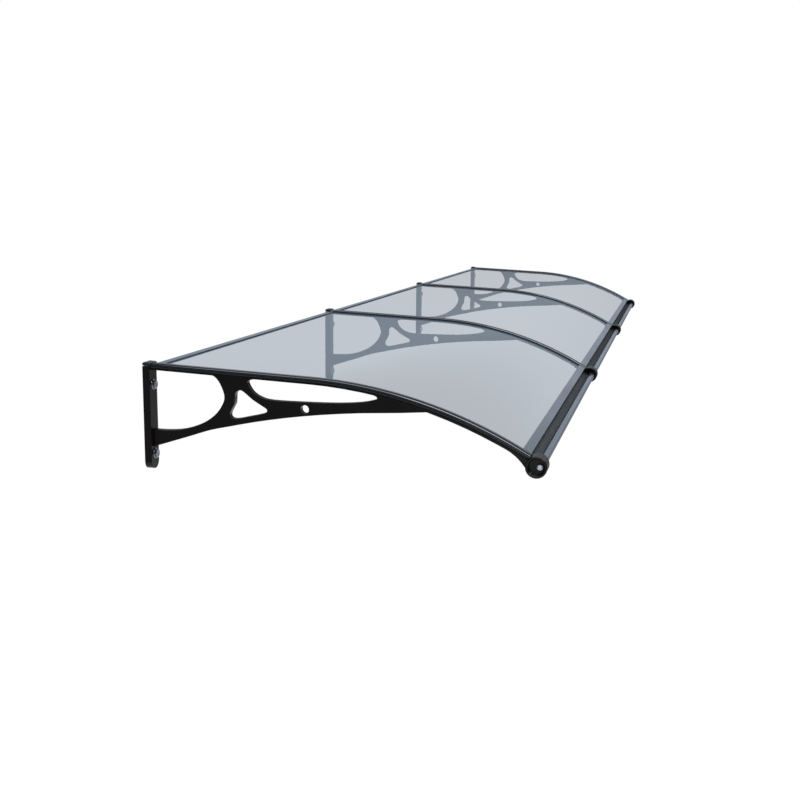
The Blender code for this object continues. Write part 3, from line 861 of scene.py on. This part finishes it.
@dataclass
class Rails:
    """The wall rails and the gutter rails in front, with the seals in their lips."""

    layout: Layout
    stack: Stack
    finishes: Finishes
    corner: float = 0.00035
    corner_steps: int = 2
    shelf: float = 0.0016
    # the wall rail, with places measured from the wall
    wall_lip: float = 0.0012
    wall_lip_depth: float = 0.0285
    wall_shelf_depth: float = 0.0245
    wall_web_front: float = 0.0150
    wall_web: float = 0.0016
    wall_leg: float = 0.002
    wall_foot: float = -0.0015
    # the gutter rail, with places measured from the end of the seat's arc
    front_lip: float = 0.0020
    front_lip_start: float = 0.0065
    front_shelf_start: float = 0.010
    gutter_back: float = 0.0247
    gutter_wall: float = 0.0022
    gutter_floor: float = -0.0045
    floor: float = 0.0020
    nose_radius: float = 0.0082
    nose_steps: int = 30
    port_radius: float = 0.0028
    port_steps: int = 20
    seal_width: float = 0.008
    seal_inset: float = 0.0007
    # which faces count as the gutter's inside, where shade is painted
    edge_slack: float = 0.0002
    foot_reach: float = 0.0020
    nose_foot: float = 0.0060
    end_normal: float = 0.5

    @property
    def shelf_top(self) -> float:
        """Top of the shelves under the sheet."""
        return self.stack.sheet_under - GAP

    def wall_section(self, bm: BMesh, x: float) -> None:
        """Draw the wall rail's section at x."""

        def at(out: float, lift: float) -> Vector:
            height = PATH.height - out * math.tan(PATH.slope) + lift / math.cos(PATH.slope)
            return Vector((x, -out, height))

        leg, web_front = self.wall_leg, self.wall_web_front
        web_back = web_front - self.wall_web
        lip_under = self.stack.strip_under
        lip_top = lip_under + self.wall_lip
        shelf_under = self.shelf_top - self.shelf
        points = [
            at(0, self.shelf_top), at(web_back, self.shelf_top), at(web_back, lip_top),
            at(self.wall_lip_depth, lip_top), at(self.wall_lip_depth, lip_under), at(web_front, lip_under),
            at(web_front, self.shelf_top), at(self.wall_shelf_depth, self.shelf_top),
            at(self.wall_shelf_depth, shelf_under), at(leg, shelf_under),
            Vector((x, -leg, self.wall_foot)), Vector((x, 0, self.wall_foot)),
        ]
        verts = [bm.verts.new(point) for point in points]
        bm.faces.new(verts)
        round_corners(bm, verts, self.corner, self.corner_steps)

    def front_section(self, bm: BMesh, x: float) -> None:
        """Draw the front rail's section at x, with the port in its nose."""

        def at(lead: float, lift: float) -> Vector:
            return PATH.at(x, PATH.arc_end + lead, lift)

        lip_under = self.stack.strip_under
        lip_top = lip_under + self.front_lip
        slot_back = self.gutter_back - self.gutter_wall
        floor_under = self.gutter_floor - self.floor
        shelf_under = self.shelf_top - self.shelf
        nose = self.layout.hub_lead
        dip, low = (math.asin(-lift / self.nose_radius) for lift in (self.gutter_floor, floor_under))
        start = bm.verts.new(at(nose - self.nose_radius * math.cos(dip), self.gutter_floor))
        arc = bmesh.ops.spin(bm, geom=[start], cent=at(nose, 0.0), axis=X_AXIS, angle=2 * math.pi - low + dip,
                             steps=self.nose_steps)
        end = only(arc["geom_last"], BMVert)[0]
        corners = [
            at(slot_back, floor_under), at(slot_back, shelf_under), at(self.front_shelf_start, shelf_under),
            at(self.front_shelf_start, self.shelf_top), at(slot_back, self.shelf_top), at(slot_back, lip_under),
            at(self.front_lip_start, lip_under), at(self.front_lip_start, lip_top),
            at(self.gutter_back, lip_top), at(self.gutter_back, self.gutter_floor),
        ]
        verts = [bm.verts.new(point) for point in corners]
        for pair in zip([end] + verts, verts + [start]):
            bm.edges.new(pair)
        bmesh.ops.contextual_create(bm, geom=bm.edges[:])
        round_corners(bm, verts, self.corner, self.corner_steps)
        rim = bm.edges[:]
        bmesh.ops.delete(bm, geom=bm.faces[:], context="FACES_ONLY")
        turn = Matrix.Translation(at(nose, 0.0)) @ Matrix.Rotation(math.pi / 2, 4, "Y")
        port = bmesh.ops.create_circle(bm, radius=self.port_radius, segments=self.port_steps, matrix=turn)["verts"]
        hole = {edge for vert in port for edge in vert.link_edges}
        bmesh.ops.triangle_fill(bm, use_beauty=True, use_dissolve=False, edges=rim + list(hole))

    def in_gutter(self, face: MeshPolygon) -> bool:
        """Whether a face lies inside the gutter, between the lip's wall and the nose, and isn't an end. These
        faces get the painted shade.
        """
        foot = PATH.at(0.0, PATH.arc_end, 0.0)
        away = Vector((0.0, face.center.y, face.center.z)) - foot
        lead, lift = away.dot(PATH.ahead(PATH.arc_end)), away.dot(PATH.above(PATH.arc_end))
        nose_back = self.layout.hub_lead - self.nose_radius
        inside = self.gutter_back - self.edge_slack < lead < nose_back + self.foot_reach
        low = self.gutter_floor - self.edge_slack < lift < self.nose_foot
        return inside and low and abs(face.normal.x) < self.end_normal

    def seal_section(self, bm: BMesh, x: float, start: float) -> None:
        """Draw a seal's section at x, between a sheet and the lip above it."""
        under, top = self.stack.sheet_top + GAP, self.stack.strip_under - GAP
        end = start + self.seal_width
        places = [(start, under), (end, under), (end, top), (start, top)]
        bm.faces.new([bm.verts.new(PATH.at(x, along, lift)) for along, lift in places])

    def pair(self, name: str, node: str, number: int, ends: Pair,
             section: Callable[[BMesh, float], None], seal_start: float) -> Object:
        """Push a rail and its seal along X.

        Args:
            name: What the two pieces' names begin with.
            node: What the names of their CAD nodes begin with.
            number: Number of the bay.
            ends: Left and right end along X.
            section: Draws the rail's section.
            seal_start: Where the seal begins along the seat line.

        Returns:
            The rail.
        """
        left, right = ends
        rail, seal = bmesh.new(), bmesh.new()
        section(rail, left)
        self.seal_section(seal, left, seal_start)
        for bm in (rail, seal):
            push(bm, bm.faces[:], X_AXIS * (right - left))
        piece = to_piece(rail, f"{name}_rail_{number}", self.finishes, Slot.RAIL,
                         [f"{node}_rail_{number}"], crease=35)
        to_piece(seal, f"{name}_rubber_{number}", self.finishes, Slot.RUBBER,
                 [f"{node}_seal_{number}"], crease=35)
        return piece

    def build(self) -> None:
        """Make the rails and their seals. The gutter's inside gets painted shade, a darker finish of its own."""
        front_seal = PATH.arc_end + self.front_lip_start + self.seal_inset
        wall_seal = self.wall_lip_depth - self.seal_inset - self.seal_width
        for index in range(self.layout.bays):
            ends = self.layout.bay_ends(index, self.layout.hub_length / 2)
            gutter = self.pair("gutter", "front", index + 1, ends, self.front_section, front_seal)
            # the faces inside the gutter are painted darker, as painted shade
            refinish(gutter, self.finishes.gutter_inside, self.in_gutter)
            ends = self.layout.bay_ends(index, self.layout.plate_width / 2)
            self.pair("back", "wall", index + 1, ends, self.wall_section, wall_seal)


@dataclass
class WallBolts:
    """The bolts that hold the plates to the wall, with their washers."""

    layout: Layout
    finishes: Finishes
    plate_depth: float = 0.0154
    heights: Pair = (-0.029, -0.170)
    across_flats: float = 0.016
    head_height: float = 0.0042
    head_rim: float = 0.0002
    # shares of half the width across flats
    blank_share: float = 1.2
    crown_share: float = 0.95
    dish_share: float = 0.62
    dish_depth: float = 0.0004
    dish_slope: float = 0.0006
    chamfer: float = math.radians(30)
    shank_radius: float = 0.0048
    tip_inset: float = 0.0005
    washer_radius: float = 0.0105
    washer_hole: float = 0.0055
    washer_thickness: float = 0.0014
    washer_rim: float = 0.0003

    def bolt(self) -> BMesh:
        """A hexagon head bolt at y = 0: turned round, then its head drawn in to six flats."""
        seat = self.plate_depth + self.washer_thickness + 2 * GAP
        top = seat + self.head_height
        floor = top - self.dish_depth
        flat = self.across_flats / 2
        blank, crown, dish = (flat * share for share in (self.blank_share, self.crown_share, self.dish_share))
        bm = turned([
            (self.tip_inset, 0.0), (self.tip_inset, self.shank_radius), (seat, self.shank_radius),
            (seat, blank), (top - self.head_rim, blank), (top, crown), (top, dish),
            (floor, dish - self.dish_slope), (floor, 0.0),
        ], steps=36)
        sixth = math.pi / 3
        for vert in bm.verts:
            radius = math.hypot(vert.co.y, vert.co.z)
            if radius < (flat + blank) / 2:
                continue
            corner = math.atan2(vert.co.z, vert.co.y) % sixth - sixth / 2
            wanted = flat / math.cos(corner)
            vert.co.yz = vert.co.yz * (wanted / radius)
            if vert.co.x > (seat + top) / 2:
                vert.co.x = top - (wanted - crown) * math.tan(self.chamfer)
        return bm

    def washer(self) -> BMesh:
        """A round washer at y = 0, its rims broken."""
        back = self.plate_depth + GAP
        front = back + self.washer_thickness
        rim = self.washer_rim
        return turned([
            (back, self.washer_hole), (back, self.washer_radius - rim), (back + rim, self.washer_radius),
            (front - rim, self.washer_radius), (front, self.washer_radius - rim),
            (front, self.washer_hole + rim), (front - rim, self.washer_hole),
        ], steps=40)

    def build(self) -> None:
        """Make the bolts and washers."""
        outwards = Matrix.Rotation(math.radians(-90), 4, "Z")
        for number, x in enumerate(self.layout.centres, start=1):
            for side, height in zip(("upper", "lower"), self.heights):
                shapes = ((self.bolt(), "hex_bolt", "wall_bolt"), (self.washer(), "washer", "wall_washer"))
                for shape, name, node in shapes:
                    shape.transform(Matrix.Translation((x, 0, height)) @ outwards)
                    to_piece(shape, f"{side}_{name}_{number}", self.finishes, Slot.ZINC,
                             [f"{side}_{node}_{number}"], crease=25)


@dataclass
class HubScrews:
    """The pan head screws with a cross recess in the hubs' cups."""

    layout: Layout
    finishes: Finishes
    cup_depth: float = 0.010
    head_radius: float = 0.0070
    head_height: float = 0.0042
    head_rim: float = 0.0002
    # shares of the head's height and radius
    dome_rise: float = 0.55
    dome_flat: float = 0.55
    dome_steps: int = 6
    recess_depth: float = 0.55
    recess_arm: float = 0.52
    recess_half: float = 0.10
    recess_flare: float = 1.35
    shank_radius: float = 0.0025
    grip: float = 0.012
    short_shank: float = 0.008

    def screw(self, shank: float) -> BMesh:
        """One screw of a given shank length on the X axis, its head towards -X."""
        seat = -self.layout.hub_length / 2 + self.cup_depth - GAP
        height, radius = self.head_height, self.head_radius
        tip = seat - height
        turns = [math.pi / 2 * step / self.dome_steps for step in range(self.dome_steps + 1)]
        dome = [(tip + height * self.dome_rise * (1 - math.cos(turn)),
                 radius * (self.dome_flat + (1 - self.dome_flat) * math.sin(turn))) for turn in turns]
        head = turned([
            (tip, 0.0), *dome, (seat - self.head_rim, radius), (seat, radius - self.head_rim),
            (seat, self.shank_radius), (seat + shank, self.shank_radius), (seat + shank, 0.0),
        ], steps=32)
        return carved(head, self.recess(tip))

    def recess(self, tip: float) -> BMesh:
        """The cross that is cut into a head whose tip lies at a place along X. It widens outwards."""
        bm = bmesh.new()
        arm, half = self.head_radius * self.recess_arm, self.head_radius * self.recess_half
        quarter = [(arm, -half), (arm, half), (half, half)]
        cross = [Matrix.Rotation(math.radians(90 * k), 2) @ Vector(corner) for k in range(4) for corner in quarter]
        bottom = tip + self.head_height * self.recess_depth
        bm.faces.new([bm.verts.new((bottom, y, z)) for y, z in cross])
        mouth = push(bm, bm.faces[:], X_AXIS * -self.head_height)
        flare = Matrix.Diagonal((1.0, self.recess_flare, self.recess_flare)).to_4x4()
        bmesh.ops.transform(bm, matrix=flare, verts=list({vert for face in mouth for vert in face.verts}))
        return bm

    def build(self) -> None:
        """Make the screws: one in each hub's left cup, and one in the right cup of the last hub."""
        axis = PATH.at(0.0, PATH.arc_end + self.layout.hub_lead, 0.0)
        through = self.layout.hub_length - self.cup_depth + self.grip
        last = len(self.layout.centres)
        for number, x in enumerate(self.layout.centres, start=1):
            shape = self.screw(self.short_shank if number == last else through)
            shape.transform(Matrix.Translation((x, axis.y, axis.z)))
            to_piece(shape, f"pan_screw_{number}", self.finishes, Slot.ZINC, [f"hub_screw_{number}"], crease=35)
        shape = self.screw(self.short_shank)
        place = Matrix.Translation((self.layout.centres[-1], axis.y, axis.z))
        shape.transform(place @ Matrix.Rotation(math.pi, 4, "Z"))
        to_piece(shape, "pan_screw_end", self.finishes, Slot.ZINC, ["end_hub_screw"], crease=35)


@dataclass(frozen=True)
class Lamp:
    """A soft rectangular lamp: where it hangs, the point it faces, its width and height, and its power."""

    name: str
    place: Triple
    aim: Triple
    size: Pair
    watts: float

    def hang(self) -> None:
        """Hang the lamp."""
        data = bpy.data.lights.new(self.name, "AREA")
        data.shape = "RECTANGLE"
        data.size, data.size_y = self.size
        data.energy = self.watts
        lamp = new_object(self.name, data)
        lamp.location = self.place
        lamp.rotation_euler = (Vector(self.aim) - Vector(self.place)).to_track_quat("-Z", "Y").to_euler()


@dataclass
class Studio:
    """Pale floor, soft light and the camera at the photograph's angle."""

    floor_height: float = -2.30
    floor_size: float = 12.0
    camera_place: Triple = (-3.8777, -1.0369, 0.3357)
    yaw: float = math.radians(13.85)
    pitch: float = math.radians(-9.85)
    roll: float = math.radians(0.47)
    focal_px: float = 1143.0
    frame_px: float = 800.0
    sensor_mm: float = 36.0
    far_limit: float = 200.0
    ambient: Triple = (0.45, 0.45, 0.46)
    # heights on the unit sphere of reflections, from straight down to straight up, with their colours
    bands: tuple[tuple[float, Triple], ...] = (
        (-1.00, (0.45, 0.45, 0.45)),
        (-0.40, (0.34, 0.36, 0.39)),
        (-0.10, (0.30, 0.32, 0.35)),
        (-0.02, (0.14, 0.16, 0.19)),
        (0.04, (0.30, 0.34, 0.40)),
        (0.17, (0.50, 0.56, 0.64)),
        (0.24, (0.29, 0.32, 0.36)),
        (0.32, (0.23, 0.25, 0.28)),
        (0.42, (0.04, 0.05, 0.06)),
        (0.69, (0.04, 0.05, 0.06)),
        (0.88, (0.15, 0.16, 0.17)),
        (1.00, (0.25, 0.25, 0.25)),
    )
    lamps: tuple[Lamp, ...] = (
        Lamp("overhead", (-0.4, -1.35, 2.3), (-0.4, -1.0, 0.0), (4.8, 1.5), 104.0),
        Lamp("overhead_rear", (-0.4, 0.15, 2.3), (-0.4, 0.0, 0.0), (4.8, 1.5), 46.0),
        Lamp("front_fill", (-2.7, -2.7, 1.8), (-1.8, -0.8, -0.1), (0.6, 0.45), 16.0),
        Lamp("end_glint", (-3.9, -0.5, -0.62), (-1.82, -0.78, -0.14), (0.5, 0.5), 1.1),
    )

    def camera(self) -> None:
        """Set up the camera."""
        data = bpy.data.cameras.new("view")
        data.sensor_width = self.sensor_mm
        data.lens = self.focal_px * self.sensor_mm / self.frame_px
        data.clip_end = self.far_limit
        camera = new_object("view", data)
        ahead = Vector((math.cos(self.pitch) * math.cos(self.yaw), math.cos(self.pitch) * math.sin(self.yaw),
                        math.sin(self.pitch)))
        right = ahead.cross(Vector((0, 0, 1))).normalized()
        up = right.cross(ahead)
        side = right * math.cos(self.roll) + up * math.sin(self.roll)
        top = up * math.cos(self.roll) - right * math.sin(self.roll)
        turn = Matrix((side, top, -ahead)).transposed()
        camera.matrix_world = Matrix.Translation(self.camera_place) @ turn.to_4x4()
        bpy.context.scene.camera = camera

    def floor(self) -> None:
        """Lay the pale floor."""
        bm = bmesh.new()
        bmesh.ops.create_grid(bm, x_segments=1, y_segments=1, size=self.floor_size / 2)
        bmesh.ops.translate(bm, verts=bm.verts, vec=(0, 0, self.floor_height))
        mesh = new_mesh(bm, "floor")
        floor = new_object("floor", mesh)
        mesh.materials.append(PaleFloor().make())

    def world(self) -> None:
        """Surround the canopy: white to the eye, even in diffuse light, and banded in reflections."""
        world = bpy.data.worlds.new("studio")
        bpy.context.scene.world = world
        world.cycles.sampling_method = "NONE"
        world.use_nodes = True
        tree = world.node_tree
        tree.nodes.clear()
        way = add_node(tree, "ShaderNodeTexCoord")
        split = add_node(tree, "ShaderNodeSeparateXYZ", inputs={0: way.outputs["Generated"]})
        height = add_node(tree, "ShaderNodeMapRange", inputs={"Value": split.outputs["Z"], "From Min": -1.0})
        ramp = add_node(tree, "ShaderNodeValToRGB", inputs={"Fac": height.outputs["Result"]})
        stops = ramp.color_ramp.elements
        stops.remove(stops[1])
        stops[0].color = (*self.bands[0][1], 1.0)
        for level, colour in self.bands[1:]:
            stops.new((level + 1) / 2).color = (*colour, 1.0)
        banded, even, white = (
            add_node(tree, "ShaderNodeBackground", inputs={"Color": colour, "Strength": 1.0}).outputs[0]
            for colour in (ramp.outputs["Color"], (*self.ambient, 1.0), (1, 1, 1, 1)))
        light = blend(tree, seen_rays(tree, "Is Glossy Ray"), even, banded)
        mixed = blend(tree, seen_rays(tree, "Is Camera Ray", "Is Transmission Ray"), light, white)
        add_node(tree, "ShaderNodeOutputWorld", inputs={"Surface": mixed})

    def build(self) -> None:
        """Set the whole stage."""
        bpy.context.scene.view_settings.view_transform = "Standard"
        self.floor()
        self.world()
        self.camera()
        for lamp in self.lamps:
            lamp.hang()


def main() -> None:
    """Load the frame, build and dress every piece, and set the stage."""
    logging.basicConfig(level=logging.INFO, format="%(name)s: %(message)s")
    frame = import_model()
    finishes = Finishes()
    by_slot = {part["node"]: Slot(part["material_slot"]) for part in frame["record"]["subparts"]}
    for name, node in frame["nodes"].items():
        finishes.dress_node(node, by_slot[name])
    layout, stack = Layout(), Stack()
    Brackets(layout, finishes).build(frame["nodes"])
    ClearSheets(layout, stack, finishes).build()
    PressingStrips(layout, stack, finishes).build()
    EndCaps(layout, stack, finishes).build()
    Rails(layout, stack, finishes).build()
    WallBolts(layout, finishes).build()
    HubScrews(layout, finishes).build()
    Studio().build()


if __name__ == "__main__":
    main()
